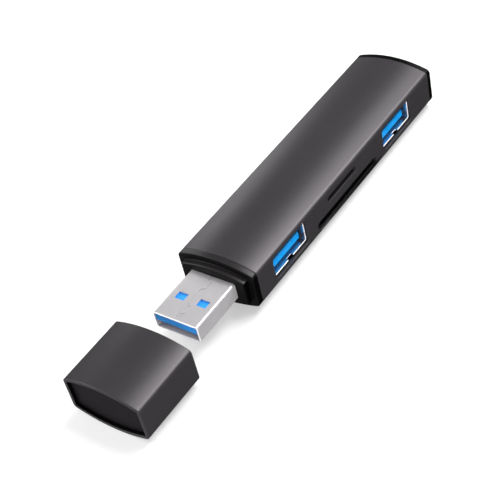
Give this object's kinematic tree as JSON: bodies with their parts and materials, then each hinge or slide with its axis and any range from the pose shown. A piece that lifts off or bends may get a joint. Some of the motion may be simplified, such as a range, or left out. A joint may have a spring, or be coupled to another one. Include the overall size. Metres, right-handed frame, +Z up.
{
  "type": "usb hub card reader",
  "caption": "Stick-shaped metal hub with a plug under a pull-off cap, ports in one side and slots for memory cards.",
  "frame": {"origin": "under the middle of the whole set with the cap pulled off, on the surface that carries it", "axes": "+Y along the stick from the cap to the closed end, +X to the side with the ports, +Z up"},
  "size_m": [0.0206, 0.1198, 0.0124],
  "materials": {
    "gunmetal_aluminium": "bead-blasted and anodised gunmetal grey",
    "gloss_black_plastic": "moulded, polished",
    "satin_black_plastic": "moulded, satin",
    "nickel_steel": "nickel-plated, satin",
    "black_steel": "blackened, matt",
    "blue_plastic": "moulded, semi-gloss",
    "gold_contact": "gold-plated",
    "board_laminate": "solder mask over glass laminate",
    "chip_resin": "moulded resin",
    "crystal_can": "pressed metal lid",
    "capacitor_ceramic": "fired ceramic",
    "socket_plastic": "moulded, satin"
  },
  "bodies": {
    "hub": {"body_sleeve": "gunmetal_aluminium", "front_collar": "gloss_black_plastic", "rear_end_cap": "gloss_black_plastic", "plug_shell": "nickel_steel", "plug_insulator": "blue_plastic", "plug_pads": "gold_contact", "plug_springs": "gold_contact", "circuit_board": "board_laminate", "hub_chip": "chip_resin", "reader_chip": "chip_resin", "crystal": "crystal_can", "regulator": "chip_resin", "capacitors": "capacitor_ceramic", "resistors": "chip_resin", "front_port_shell": "nickel_steel", "front_port_tongue": "blue_plastic", "front_port_pads": "gold_contact", "front_port_springs": "gold_contact", "rear_port_shell": "nickel_steel", "rear_port_tongue": "blue_plastic", "rear_port_pads": "gold_contact", "rear_port_springs": "gold_contact", "large_card_socket_base": "socket_plastic", "large_card_socket_cover": "black_steel", "large_card_socket_contacts": "gold_contact", "small_card_socket_base": "socket_plastic", "small_card_socket_cover": "black_steel", "small_card_socket_contacts": "gold_contact"},
    "cap": {"cap_sleeve": "gunmetal_aluminium", "cap_liner": "satin_black_plastic"}
  },
  "joints": [
    {"name": "cap_slide", "type": "slide", "parent": "hub", "child": "cap", "axis": [0, 1, 0], "range_m": [0, 0.02258]}
  ]
}
